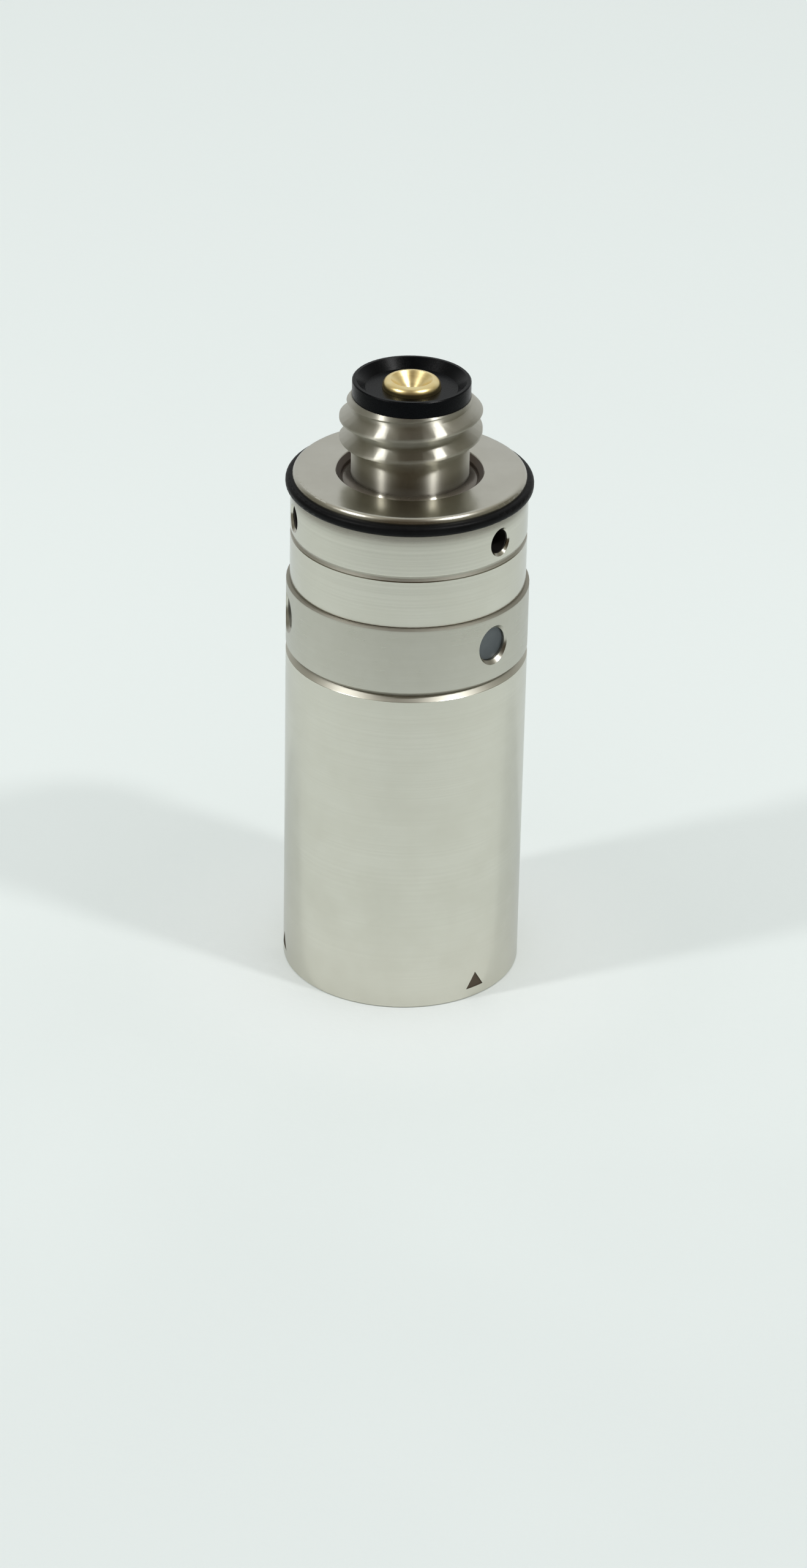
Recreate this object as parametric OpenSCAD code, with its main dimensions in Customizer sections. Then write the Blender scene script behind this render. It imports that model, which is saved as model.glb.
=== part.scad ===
// Touch-trigger probe body: a stainless cylinder with a threaded mounting stud and centre contact on top,
// and a magnetic three-point seat for a stylus module underneath.
// It stands on the sleeve's foot at z = 0, centred on the Z axis. Lengths are in millimetres.
// Angles are measured from the front (-Y) towards the right (+X).

/* [Body] */
// Outer diameter of sleeve and body ring
body_d = 13.5; // [12:0.1:16]
// Length of the sleeve
sleeve_h = 19.76; // [18:0.02:30]
// Wall of the sleeve at its upper bore
sleeve_wall = 0.75; // [0.5:0.05:0.9]
// Step in the sleeve's bore that carries the strain web
sleeve_step = 0.2; // [0.1:0.05:0.3]
// Visible height of the body ring
ring_h = 4.15; // [3.7:0.05:6]
// Length of the ring's spigots in sleeve and cap
spigot_h = 2; // [1.5:0.1:2.4]
// Bevel on each side of the seam between sleeve and ring
seam_bevel = 0.29; // [0.1:0.01:0.35]
// Height of the taper at the ring's upper edge
taper_h = 0.1; // [0.1:0.05:0.5]
// How far the ring tapers in at its upper edge
taper = 0.05; // [0.04:0.01:0.2]
// Bevel on the other outer edges
edge = 0.06; // [0.04:0.02:0.2]
// Angle from the first spanner hole or plug to its neighbour on either side
side_spread = 125; // [115:1:130]

/* [Cap] */
// How far the cap lies inside the body's surface
cap_step = 0.2; // [0.05:0.05:0.4]
// Height of the cap's plain band, up to the turned line
band_h = 2.96; // [2.6:0.02:4]
// Height of the collar, from the turned line to the seal
collar_h = 2.58; // [2.4:0.02:4]
// Width of the turned line, a shallow V
line_w = 0.42; // [0.2:0.02:0.5]
// Depth of the turned line
line_depth = 0.08; // [0.04:0.02:0.2]
// Wall of the cap round the ring's upper spigot
cap_wall = 0.95; // [0.7:0.05:1.1]
// Thickness of the cap's roof under the annular recess
roof_t = 1.5; // [0.8:0.05:1.8]
// How far the flange lip above the seal lies inside the cap's surface
lip_inset = 0.1; // [0.04:0.02:0.3]
// Thickness of the flange lip
lip_h = 0.35; // [0.32:0.01:0.5]
// Rounding of the lip's upper edge
lip_round = 0.3; // [0.1:0.01:0.3]
// Bevel at the mouth of the annular recess
recess_bevel = 0.3; // [0.1:0.02:0.36]
// Gap between the thread's crest and the annular recess's wall, seen from above
recess_gap = 0.18; // [0.1:0.01:0.6]
// Depth of the annular recess
recess_depth = 0.5; // [0.45:0.05:1.5]
// Width of the recess's flat floor, outside the rounded foot of the stud
recess_flat = 0.11; // [0.02:0.01:0.2]

/* [Spanner holes] */
// Diameter of the radial spanner holes
spanner_d = 1.36; // [1:0.02:1.6]
// Depth of the spanner holes
spanner_depth = 1.2; // [0.8:0.1:1.4]
// Height of the spanner holes above the turned line
spanner_rise = 1.23; // [1.15:0.01:1.4]
// Bevel at the mouth of the spanner holes
spanner_bevel = 0.15; // [0.04:0.01:0.2]
// Angle of the first spanner hole
spanner_angle = 50; // [0:1:119]

/* [Seal ring] */
// How far the seal ring stands proud of the cap
seal_rise = 0.28; // [0.1:0.02:0.4]
// Height of the seal ring
seal_h = 0.6; // [0.55:0.01:0.9]
// Radial width of the seal ring
seal_w = 0.82; // [0.6:0.02:1]
// Rounding of the seal ring's outer edges
seal_round = 0.25; // [0.1:0.01:0.27]

/* [Stud] */
// Crest diameter of the stud's thread
thread_d = 7.84; // [7.4:0.02:8]
// Depth of the thread
thread_depth = 0.62; // [0.5:0.01:0.7]
// Thread pitch
thread_pitch = 1.25; // [1:0.05:1.25]
// Flat left on the thread's crest
thread_flat = 0.2; // [0.15:0.01:0.3]
// Length of the thread
thread_h = 2.5; // [2:0.05:4]
// Height of a thread crest above the cap's top face, seen from the front
thread_phase = 3.45; // [2.8:0.05:4]
// How far the thread relief lies below the thread's root
relief_step = 0.05; // [0:0.01:0.2]
// Height of the thread relief above the cap's top face
relief_h = 1.65; // [1.4:0.05:3]
// Bevel at the thread's lower end
thread_bevel = 0.3; // [0.2:0.02:0.5]
// Height of the plain pilot above the thread
pilot_h = 0.3; // [0.2:0.05:0.8]
// How far the pilot's foot stands out from the thread's root
pilot_step = 0.14; // [0.05:0.01:0.2]
// How far the pilot tapers in towards its top
pilot_taper = 0.13; // [0.05:0.01:0.2]
// Bore of the stud
stud_bore_d = 4.06; // [3.6:0.02:4.4]

/* [Contact] */
// How far the insulator's head lies inside the pilot's top
insulator_inset = 0.06; // [0.03:0.01:0.3]
// Height of the insulator's head above the stud
insulator_h = 0.93; // [0.8:0.01:1.2]
// Width of the flat rim round the insulator's dish
insulator_rim = 0.16; // [0.08:0.02:0.3]
// Depth of the insulator's dish
dish_depth = 0.5; // [0.3:0.05:0.6]
// Diameter of the contact's head
contact_d = 3.2; // [2.8:0.05:3.4]
// How far the contact stands above the insulator's rim
contact_rise = 0.02; // [0:0.01:0.3]
// Diameter of the contact's dimple
dimple_d = 2.3; // [2:0.02:2.4]
// Depth of the contact's dimple
dimple_depth = 1.1; // [0.6:0.02:1.3]
// Rounding of the contact's outer rim
rim_round = 0.4; // [0.1:0.02:0.44]
// Thickness of the contact's head
contact_head_h = 0.95; // [0.9:0.05:1.1]
// Diameter of the contact's shank
shank_d = 1.6; // [1.2:0.05:1.8]
// Thickness of the insulating washer
washer_t = 0.4; // [0.3:0.05:0.6]
// Diameter of the insulating washer
washer_d = 5; // [4.6:0.1:6]
// Width of the contact nut across its flats
nut_af = 3.2; // [2.8:0.1:4]
// Height of the contact nut
nut_h = 1; // [0.7:0.05:1.2]
// Length of the contact's tail below the nut
tail_h = 0.5; // [0.3:0.05:0.7]
// Diameter of the contact lead
lead_d = 0.6; // [0.4:0.05:0.7]
// Length of the contact lead that lies in the board's notch
lead_notch = 1.4; // [1:0.1:2]

/* [Side plugs] */
// Diameter of the side plugs
plug_d = 1.9; // [1.8:0.02:2.3]
// Thickness of the side plugs
plug_t = 0.4; // [0.3:0.05:0.5]
// How far the plugs lie below the ring's surface
plug_recess = 0.34; // [0.05:0.01:0.4]
// Height of the plugs above the ring's lower edge
plug_rise = 2.34; // [2.1:0.01:2.4]
// Bevel at the mouth of the plug holes
plug_bevel = 0.2; // [0.02:0.02:0.24]
// Angle of the first plug
plug_angle = 45.5; // [0:0.5:119.5]
// Diameter of the set screws under the plugs
set_screw_d = 1.5; // [1:0.1:1.6]
// Width of the set screws' sockets across their flats
socket_af = 0.7; // [0.5:0.05:0.8]
// Depth of the set screws' sockets
socket_depth = 0.5; // [0.3:0.05:0.6]

/* [Alignment marks] */
// Width of the triangular alignment marks
mark_w = 1.22; // [0.8:0.02:1.6]
// Height of the alignment marks
mark_h = 0.97; // [0.6:0.01:1.4]
// Height of the marks above the sleeve's foot
mark_rise = 0.6; // [0.3:0.05:1]
// Depth to which the marks are engraved
mark_depth = 0.05; // [0.02:0.01:0.1]
// Angle of the first mark
mark_angle = 39.3; // [0:0.1:119.9]

/* [Stylus seat] */
// Depth of the mouth below the seat plate
mouth_depth = 0.8; // [0.6:0.05:1.2]
// Thickness of the seat plate
seat_t = 2.2; // [2:0.1:3]
// Gap between seat plate and sleeve
seat_gap = 0.1; // [0.05:0.01:0.15]
// Distance of the V-seats and pillars from the sleeve's lower bore
seat_margin = 1.4; // [1.3:0.05:1.6]
// Diameter of the seat rollers
roller_d = 0.9; // [0.7:0.05:1]
// Length of the seat rollers
roller_l = 1.6; // [1.2:0.1:1.8]
// Distance between the rollers of a pair
roller_gap = 1.3; // [1.1:0.05:1.5]
// How far the rollers' centres lie above the plate's lower face
roller_rise = 0.2; // [0.1:0.05:0.3]
// Diameter of the magnet
magnet_d = 3; // [2.4:0.1:3.2]
// Height of the magnet
magnet_h = 1.7; // [1.2:0.1:1.8]
// Wall of the magnet cup
cup_wall = 0.5; // [0.3:0.05:0.6]
// Width of the magnet cup's rim on the seat plate
cup_rim = 0.5; // [0.3:0.05:0.6]
// Thickness of the magnet cup's rim
cup_rim_t = 0.4; // [0.3:0.05:0.6]
// Shank diameter of the seat screws
seat_screw_d = 1; // [0.8:0.05:1.2]
// Head diameter of the seat screws
seat_head_d = 1.8; // [1.5:0.05:2]
// Head height of the seat screws
seat_head_h = 0.7; // [0.5:0.05:0.9]
// Depth of the seat screws in the seat plate
seat_screw_depth = 1.4; // [0.8:0.1:1.6]
// Height of the lower seal
lower_seal_h = 0.7; // [0.5:0.05:0.9]
// Depth of the lower seal's groove in the seat plate
lower_seal_depth = 0.45; // [0.3:0.05:0.5]

/* [Strain web] */
// Thickness of the web's lower ring
web_lower_t = 1; // [0.8:0.05:1.5]
// Height of the web's pillars
pillar_h = 4; // [3.4:0.1:5]
// Width of the pillars
pillar_w = 1.6; // [1.2:0.1:2]
// Thickness of the pillars
pillar_t = 0.8; // [0.6:0.05:1]
// Thickness of the web's upper ring
web_upper_t = 1.2; // [0.9:0.05:1.6]
// How far the web's upper ring reaches in from the pillars
web_ledge = 0.8; // [0.5:0.05:0.9]
// Gap between the web's lower ring and the sleeve
web_gap = 0.25; // [0.15:0.05:0.4]
// Thickness of the strain gauges
gauge_t = 0.12; // [0.08:0.02:0.2]
// Width of the strain gauges
gauge_w = 1; // [0.8:0.05:1.1]
// Height of the strain gauges
gauge_h = 2.4; // [1.6:0.1:2.8]
// Thickness of the flexible circuit
flex_t = 0.14; // [0.1:0.02:0.2]
// Width of the flexible circuit's tail
flex_w = 2; // [1.4:0.1:2.4]
// Width of the flexible circuit's arms
flex_arm_w = 0.6; // [0.4:0.05:0.8]
// Length of the flexible circuit on the board
flex_lap = 2.6; // [2:0.1:3.4]

/* [Chassis and board] */
// Thickness of the chassis flange
flange_t = 1.2; // [0.9:0.05:1.5]
// Gap between the chassis tube and the sleeve
chassis_gap = 0.5; // [0.3:0.05:0.6]
// Depth of the board's slots in the chassis
slot_depth = 0.4; // [0.3:0.05:0.5]
// Wall of the chassis behind the board's slots
slot_wall = 0.4; // [0.3:0.05:0.5]
// Width of the windows in the chassis
window_w = 5; // [4:0.2:5.6]
// Distance of the windows from flange and shoulder
window_margin = 0.9; // [0.6:0.1:1.2]
// How far the chassis stops below the top of the body ring
chassis_drop = 0.4; // [0.2:0.1:0.8]
// Diameter of the locating pin
pin_d = 0.8; // [0.6:0.05:0.9]
// Thickness of the circuit board
board_t = 1; // [0.8:0.05:1.2]
// Distance of the board's edges from the body's surface
board_inset = 2.45; // [2.35:0.05:2.6]
// How far the board reaches above the body ring
board_rise = 1; // [0.5:0.1:1.4]
// Width of the signal chip
chip_w = 4; // [3:0.1:4.6]
// Height of the signal chip along the board
chip_l = 4; // [3:0.1:4.6]
// Thickness of the signal chip
chip_t = 0.9; // [0.7:0.05:1.2]
// Length of the small board components
comp_l = 1; // [0.6:0.05:1.2]
// Width of the small board components
comp_w = 0.5; // [0.4:0.05:0.6]
// Distance between the small board components
comp_pitch = 1.3; // [1.3:0.05:1.6]
// Number of small board components on the back of the board
comp_count = 5; // [3:1:6]

/* [Fits] */
// Clearance of pieces that fit into each other
fit = 0.02; // [0.01:0.01:0.04]
// Clearance of the board in its slots
slot_clear = 0.05; // [0.02:0.01:0.1]

/* [Hidden] */
$fn = 96;

// Three-fold pattern of marks and seats
thirds = [0, 120, 240];
// Overshoot of cutting shapes
cut = 0.5;

// Radii of the outer pieces
body_r = body_d / 2;
cap_r = body_r - cap_step;
lip_r = cap_r - lip_inset;
seal_r = cap_r + seal_rise;
seal_in_r = seal_r - seal_w;
thread_r = thread_d / 2;
root_r = thread_r - thread_depth;
relief_r = root_r - relief_step;
recess_r = thread_r + recess_gap;
foot_round = recess_r - recess_bevel - recess_flat - relief_r;
pilot_r = root_r + pilot_step;
pilot_top_r = pilot_r - pilot_taper;
insulator_r = pilot_top_r - insulator_inset;
stud_bore_r = stud_bore_d / 2;
upper_bore_r = body_r - sleeve_wall;
lower_bore_r = upper_bore_r - sleeve_step;

// Heights from the foot to the top of the contact
ring_z = sleeve_h;
cap_z = ring_z + ring_h;
line_z = cap_z + band_h;
collar_z = line_z + collar_h;
lip_z = collar_z + seal_h;
face_z = lip_z + lip_h;
thread_z = face_z + relief_h;
pilot_z = thread_z + thread_h;
stud_z = pilot_z + pilot_h;
insulator_z = stud_z + insulator_h;
contact_z = insulator_z + contact_rise;
roof_z = face_z - recess_depth - roof_t;

// Heights of the inner stack, carried by the sleeve's step
seat_z = mouth_depth;
web_z = seat_z + seat_t;
pillar_z = web_z + web_lower_t;
step_z = pillar_z + pillar_h;
chassis_z = step_z + web_upper_t;
board_z = chassis_z + flange_t;
shoulder_z = ring_z - spigot_h;
chassis_top_z = cap_z - chassis_drop;
board_top_z = cap_z + board_rise;

// Radii of the inner pieces
board_w = body_d - 2 * board_inset;
chassis_bore_r = board_w / 2 - slot_depth;
seat_circle_r = lower_bore_r - seat_margin;
web_bore_r = seat_circle_r - pillar_t / 2 - web_ledge;
pin_circle_r = (web_bore_r + upper_bore_r) / 2;
chassis_tube_r = board_w / 2 + slot_clear + slot_wall;
ring_bore_r = chassis_tube_r + fit;
cap_spigot_r = cap_r - cap_wall - fit;
cavity_r = ring_bore_r;
seat_r = lower_bore_r - seat_gap;
cup_r = magnet_d / 2 + fit + cup_wall;
plug_floor_r = body_r - plug_recess - plug_t;

// Centre height of the gauges on the pillars
gauge_z = pillar_z + pillar_h / 2;

// Places a child that points out along -Y at an angle round the axis
module around(angle) {
    rotate([0, 0, angle]) children();
}

// Repeats a child three times round the axis, starting at an angle
module three_times(angle) {
    for (a = thirds) around(angle + a) children();
}

// Repeats a child at an angle round the axis and at the side spread on either side of it
module three_sides(angle) {
    for (a = [0, -side_spread, side_spread]) around(angle + a) children();
}

// Radial cylinder along -Y between two distances from the axis
module radial_rod(r, near, far, z) {
    translate([0, -near, z]) rotate([90, 0, 0]) cylinder(r = r, h = far - near);
}

// Cone that bevels the mouth of a radial hole in a cylindrical wall
module mouth_bevel(r, bevel, wall_r, z) {
    translate([0, -(wall_r - bevel), z])
        rotate([90, 0, 0]) cylinder(r1 = r, r2 = r + bevel + cut, h = bevel + cut);
}

// Solid of revolution of a plain ring
module ring_solid(inner, outer, low, high) {
    rotate_extrude() translate([inner, low]) square([outer - inner, high - low]);
}

// What is taken off an upper outer corner to round it
module corner_waste(x, z, r) {
    difference() {
        translate([x - r, z - r]) square([r + cut, r + cut]);
        translate([x - r, z - r]) circle(r = r);
    }
}

// What is added in a lower inner corner to round it
module corner_fill(x, z, r) {
    difference() {
        translate([x - cut, z - cut]) square(r + cut);
        translate([x + r, z + r]) circle(r = r);
    }
}

// Thread groove as one swept solid, cut out of the stud's crest cylinder
module thread_groove() {
    steps_per_turn = 36;
    slope = tan(30);
    crest_gap = thread_pitch - thread_flat;
    margin = 0.1;
    least_root = 0.1;
    root_half = max(crest_gap / 2 - thread_depth * slope, least_root / 2);
    outer_half = crest_gap / 2 + margin * slope;
    section = [[root_r, -root_half], [thread_r + margin, -outer_half],
               [thread_r + margin, outer_half], [root_r, root_half]];
    groove_front_z = face_z + thread_phase + thread_pitch / 2;
    first = floor((thread_z - thread_pitch / 2 - groove_front_z) / thread_pitch * steps_per_turn);
    last = ceil((stud_z + thread_pitch / 2 - groove_front_z) / thread_pitch * steps_per_turn);
    sides = len(section);
    points = [for (i = [first : last], p = section)
        let (angle = i / steps_per_turn * 360 - 90)
        [p[0] * cos(angle), p[0] * sin(angle), groove_front_z + thread_pitch * i / steps_per_turn + p[1]]];
    rings = last - first;
    walls = [for (i = [0 : rings - 1], j = [0 : sides - 1])
        let (a = i * sides + j, b = i * sides + (j + 1) % sides)
        each [[a, b, b + sides], [a, b + sides, a + sides]]];
    start_cap = [for (j = [sides - 1 : -1 : 0]) j];
    end_cap = [for (j = [0 : sides - 1]) rings * sides + j];
    polyhedron(points, concat(walls, [start_cap, end_cap]), convexity = 10);
}

// Turned profile of the cap, from the axis out to its surface
module cap_profile() {
    polygon([
        [0, roof_z], [cavity_r, roof_z], [cavity_r, cap_z + spigot_h + fit],
        [cap_spigot_r + fit, cap_z + spigot_h + fit], [cap_spigot_r + fit, cap_z],
        [cap_r - edge, cap_z], [cap_r, cap_z + edge],
        [cap_r, line_z - line_w / 2], [cap_r - line_depth, line_z], [cap_r, line_z + line_w / 2],
        [cap_r, collar_z - edge], [cap_r - edge, collar_z],
        [seal_in_r - fit, collar_z], [seal_in_r - fit, lip_z],
        [lip_r, lip_z], [lip_r, face_z], [recess_r, face_z],
        [recess_r - recess_bevel, face_z - recess_bevel],
        [recess_r - recess_bevel, face_z - recess_depth], [relief_r, face_z - recess_depth],
        [relief_r, thread_z], [thread_r - thread_bevel, thread_z],
        [thread_r, thread_z + thread_bevel], [thread_r, pilot_z - thread_r + pilot_r],
        [pilot_r, pilot_z], [pilot_top_r, stud_z], [0, stud_z]]);
}

// Turned cap: band, collar, seal groove, flange lip and stud in one piece
module mount_cap() {
    color([0.76, 0.76, 0.72]) difference() {
        rotate_extrude() difference() {
            union() {
                cap_profile();
                corner_fill(relief_r, face_z - recess_depth, foot_round);
            }
            corner_waste(lip_r, face_z, lip_round);
        }
        thread_groove();
        translate([0, 0, roof_z - cut]) cylinder(d = stud_bore_d, h = stud_z - roof_z + 2 * cut);
        three_sides(spanner_angle) {
            radial_rod(spanner_d / 2, cap_r - spanner_depth, cap_r + cut, line_z + spanner_rise);
            mouth_bevel(spanner_d / 2, spanner_bevel, cap_r, line_z + spanner_rise);
        }
    }
}

// Black seal ring with rounded outer edges, seated in the cap's groove
module seal_ring() {
    color([0.06, 0.06, 0.06]) rotate_extrude() difference() {
        translate([seal_in_r, collar_z]) square([seal_w, seal_h]);
        corner_waste(seal_r, lip_z, seal_round);
        mirror([0, 1]) corner_waste(seal_r, -collar_z, seal_round);
    }
}

// Black bush with a dished head, through the stud's bore
module contact_insulator() {
    dish_r = insulator_r - edge - insulator_rim;
    dish_z = insulator_z - dish_depth;
    head_floor_z = contact_z - contact_head_h - fit;
    pocket_r = contact_d / 2 + fit;
    color([0.05, 0.05, 0.06]) rotate_extrude() polygon([
        [shank_d / 2 + fit, roof_z], [stud_bore_r - fit, roof_z], [stud_bore_r - fit, stud_z],
        [insulator_r, stud_z], [insulator_r, insulator_z - edge], [insulator_r - edge, insulator_z],
        [dish_r, insulator_z], [dish_r - dish_depth, dish_z], [pocket_r, dish_z],
        [pocket_r, head_floor_z], [shank_d / 2 + fit, head_floor_z]]);
}

// Gold contact: dimpled head and a shank down through the insulator
module centre_contact() {
    head_r = contact_d / 2;
    tail_z = roof_z - washer_t - nut_h - tail_h;
    color([0.83, 0.68, 0.32]) rotate_extrude() difference() {
        polygon([
            [0, tail_z], [shank_d / 2, tail_z], [shank_d / 2, contact_z - contact_head_h],
            [head_r, contact_z - contact_head_h], [head_r, contact_z], [dimple_d / 2, contact_z],
            [0, contact_z - dimple_depth]]);
        corner_waste(head_r, contact_z, rim_round);
    }
}

// Washer that keeps the nut clear of the cap's roof
module insulating_washer() {
    color([0.85, 0.82, 0.7]) ring_solid(shank_d / 2 + fit, washer_d / 2, roof_z - washer_t, roof_z);
}

// Hexagon nut that clamps contact and insulator in the stud
module contact_nut() {
    nut_z = roof_z - washer_t - nut_h;
    color([0.8, 0.68, 0.4]) translate([0, 0, nut_z]) difference() {
        cylinder(d = nut_af / cos(30), h = nut_h, $fn = 6);
        translate([0, 0, -cut]) cylinder(r = shank_d / 2 + fit, h = nut_h + 2 * cut);
    }
}

// Wire from the contact's tail into the board's notch
module contact_lead() {
    tail_z = roof_z - washer_t - nut_h - tail_h;
    low = board_top_z - lead_notch;
    color([0.72, 0.45, 0.2]) translate([0, 0, low]) cylinder(d = lead_d, h = tail_z - low);
}

// Ring between sleeve and cap, with a spigot in each and three plugged screw holes
module body_ring() {
    spigot_r = upper_bore_r - fit;
    plug_z = ring_z + plug_rise;
    color([0.74, 0.74, 0.7]) difference() {
        rotate_extrude() polygon([
            [ring_bore_r, shoulder_z], [spigot_r, shoulder_z], [spigot_r, ring_z],
            [body_r - seam_bevel, ring_z], [body_r, ring_z + seam_bevel],
            [body_r, cap_z - taper_h], [body_r - taper, cap_z],
            [cap_spigot_r, cap_z], [cap_spigot_r, cap_z + spigot_h], [ring_bore_r, cap_z + spigot_h]]);
        three_sides(plug_angle) {
            radial_rod(set_screw_d / 2 + fit, ring_bore_r - cut, body_r, plug_z);
            radial_rod(plug_d / 2 + fit, plug_floor_r, body_r + cut, plug_z);
            mouth_bevel(plug_d / 2 + fit, plug_bevel, body_r, plug_z);
        }
    }
}

// Three socket screws that lock the chassis in the body ring
module set_screws() {
    outer = plug_floor_r - fit;
    color([0.3, 0.3, 0.32]) three_sides(plug_angle) difference() {
        radial_rod(set_screw_d / 2, chassis_tube_r + fit, outer, ring_z + plug_rise);
        translate([0, -(outer - socket_depth), ring_z + plug_rise]) rotate([90, 0, 0])
            cylinder(d = socket_af / cos(30), h = socket_depth + cut, $fn = 6);
    }
}

// Three grey plugs that close the screw holes
module side_plugs() {
    color([0.4, 0.44, 0.47]) three_sides(plug_angle)
        radial_rod(plug_d / 2, plug_floor_r, plug_floor_r + plug_t, ring_z + plug_rise);
}

// Slotted tube that clamps the web on the sleeve's step and holds the board
module chassis() {
    window_z = board_z + window_margin;
    window_h = shoulder_z - window_margin - window_z;
    slot_w = board_t + 2 * slot_clear;
    slot_l = board_w + 2 * slot_clear;
    color([0.62, 0.64, 0.66]) difference() {
        union() {
            ring_solid(web_bore_r, upper_bore_r - fit, chassis_z, board_z);
            ring_solid(chassis_bore_r, upper_bore_r - chassis_gap, board_z, shoulder_z);
            ring_solid(chassis_bore_r, chassis_tube_r, shoulder_z, chassis_top_z);
        }
        translate([-slot_l / 2, -slot_w / 2, board_z]) cube([slot_l, slot_w, chassis_top_z - board_z + cut]);
        translate([-window_w / 2, -body_r, window_z]) cube([window_w, body_d, window_h]);
        locating_hole(chassis_z - cut, board_z + fit);
    }
}

// Hole for the locating pin, midway across the web's upper ring, between two heights
module locating_hole(low, high) {
    translate([0, pin_circle_r, low]) cylinder(r = pin_d / 2 + fit, h = high - low);
}

// Board that stands in the chassis slots, notched for the contact lead
module circuit_board() {
    notch_w = lead_d + 2 * fit;
    color([0.1, 0.35, 0.2]) difference() {
        translate([-board_w / 2, -board_t / 2, board_z]) cube([board_w, board_t, board_top_z - board_z]);
        translate([-notch_w / 2, -board_t, board_top_z - lead_notch])
            cube([notch_w, 2 * board_t, lead_notch + cut]);
    }
}

// Signal chip on the front of the board
module signal_chip() {
    chip_z = board_z + (shoulder_z - board_z) / 2;
    color([0.08, 0.08, 0.09])
        translate([-chip_w / 2, -board_t / 2 - chip_t, chip_z]) cube([chip_w, chip_t, chip_l]);
}

// Row of small components on the back of the board
module board_components() {
    first_z = board_z + flex_lap + comp_pitch;
    color([0.7, 0.62, 0.5]) for (i = [0 : comp_count - 1])
        translate([-comp_l / 2, board_t / 2, first_z + i * comp_pitch]) cube([comp_l, comp_w, comp_w]);
}

// Long lower tube, stepped inside, with three engraved triangles at its foot
module sleeve() {
    color([0.73, 0.73, 0.69]) difference() {
        rotate_extrude() polygon([
            [lower_bore_r, 0], [body_r - edge, 0], [body_r, edge],
            [body_r, ring_z - seam_bevel], [body_r - seam_bevel, ring_z],
            [upper_bore_r, ring_z], [upper_bore_r, step_z], [lower_bore_r, step_z]]);
        three_times(mark_angle) intersection() {
            translate([0, -body_r + cut, mark_rise]) rotate([90, 0, 0]) linear_extrude(2 * cut)
                polygon([[-mark_w / 2, 0], [mark_w / 2, 0], [0, mark_h]]);
            ring_solid(body_r - mark_depth, body_r + cut, 0, mark_rise + mark_h + cut);
        }
    }
}

// Two rings joined by three slender pillars
module strain_web() {
    color([0.68, 0.68, 0.66]) union() {
        difference() {
            ring_solid(cup_r + cup_rim + seat_gap, lower_bore_r - web_gap, web_z, pillar_z);
            three_times(60) translate([0, -seat_circle_r, web_z - cut])
                cylinder(r = seat_screw_d / 2 + fit, h = web_lower_t + 2 * cut);
        }
        three_times(0) translate([-pillar_w / 2, -seat_circle_r - pillar_t / 2, pillar_z])
            cube([pillar_w, pillar_t, pillar_h]);
        difference() {
            ring_solid(web_bore_r, upper_bore_r - fit, step_z, chassis_z);
            locating_hole(step_z - cut, chassis_z + cut);
        }
    }
}

// Three gauges bonded to the inner faces of the pillars
module strain_gauges() {
    inner_face = seat_circle_r - pillar_t / 2;
    color([0.8, 0.6, 0.25]) three_times(0)
        translate([-gauge_w / 2, -inner_face, gauge_z - gauge_h / 2]) cube([gauge_w, gauge_t, gauge_h]);
}

// Flexible circuit: an arm to each gauge, and a tail up the back of the board
module gauge_flex() {
    arm_l = seat_circle_r - pillar_t / 2 - gauge_t;
    tail_top_z = board_z + flex_lap;
    color([0.75, 0.45, 0.1]) union() {
        three_times(0) translate([-flex_arm_w / 2, -arm_l, gauge_z]) cube([flex_arm_w, arm_l, flex_t]);
        translate([0, 0, gauge_z]) cylinder(r = flex_w, h = flex_t);
        translate([-flex_w / 2, board_t / 2, gauge_z]) cube([flex_w, flex_t, tail_top_z - gauge_z]);
    }
}

// Dowel that lines up chassis and web
module locating_pin() {
    color([0.6, 0.6, 0.6]) translate([0, pin_circle_r, step_z])
        cylinder(d = pin_d, h = web_upper_t + flange_t);
}

// Plate that holds the V-seats and the magnet cup
module seat_plate() {
    seal_low = seat_z + (seat_t - lower_seal_h) / 2;
    color([0.6, 0.6, 0.58]) difference() {
        ring_solid(cup_r + fit, seat_r, seat_z, web_z);
        ring_solid(seat_r - lower_seal_depth, seat_r + cut, seal_low, seal_low + lower_seal_h);
        three_times(0) seat_pair(roller_d / 2 + fit, roller_l + 2 * fit);
        three_times(60) translate([0, -seat_circle_r, web_z - seat_screw_depth])
            cylinder(r = seat_screw_d / 2 + fit, h = seat_screw_depth + cut);
    }
}

// A pair of radial rollers, or of the grooves that they lie in
module seat_pair(r, length) {
    for (side = [-1, 1]) translate([side * roller_gap / 2, 0, 0])
        radial_rod(r, seat_circle_r - length / 2, seat_circle_r + length / 2, seat_z + roller_rise);
}

// Six hardened rollers, in three pairs
module seat_rollers() {
    color([0.8, 0.8, 0.82]) three_times(0) seat_pair(roller_d / 2, roller_l);
}

// Three cap screws that join seat plate and web
module seat_screws() {
    color([0.35, 0.35, 0.37]) three_times(60) translate([0, -seat_circle_r, 0]) union() {
        translate([0, 0, web_z - seat_screw_depth + fit])
            cylinder(d = seat_screw_d, h = seat_screw_depth + web_lower_t - fit);
        translate([0, 0, pillar_z]) cylinder(d = seat_head_d, h = seat_head_h);
    }
}

// Disc magnet, flush with the seat plate's lower face
module magnet() {
    color([0.55, 0.55, 0.57]) translate([0, 0, seat_z]) cylinder(d = magnet_d, h = magnet_h);
}

// Iron cup round the magnet, hung by its rim on the seat plate
module magnet_cup() {
    color([0.45, 0.45, 0.47]) difference() {
        union() {
            translate([0, 0, seat_z]) cylinder(r = cup_r, h = seat_t);
            translate([0, 0, web_z]) cylinder(r = cup_r + cup_rim, h = cup_rim_t);
        }
        translate([0, 0, seat_z - cut]) cylinder(r = magnet_d / 2 + fit, h = magnet_h + cut);
    }
}

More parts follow.
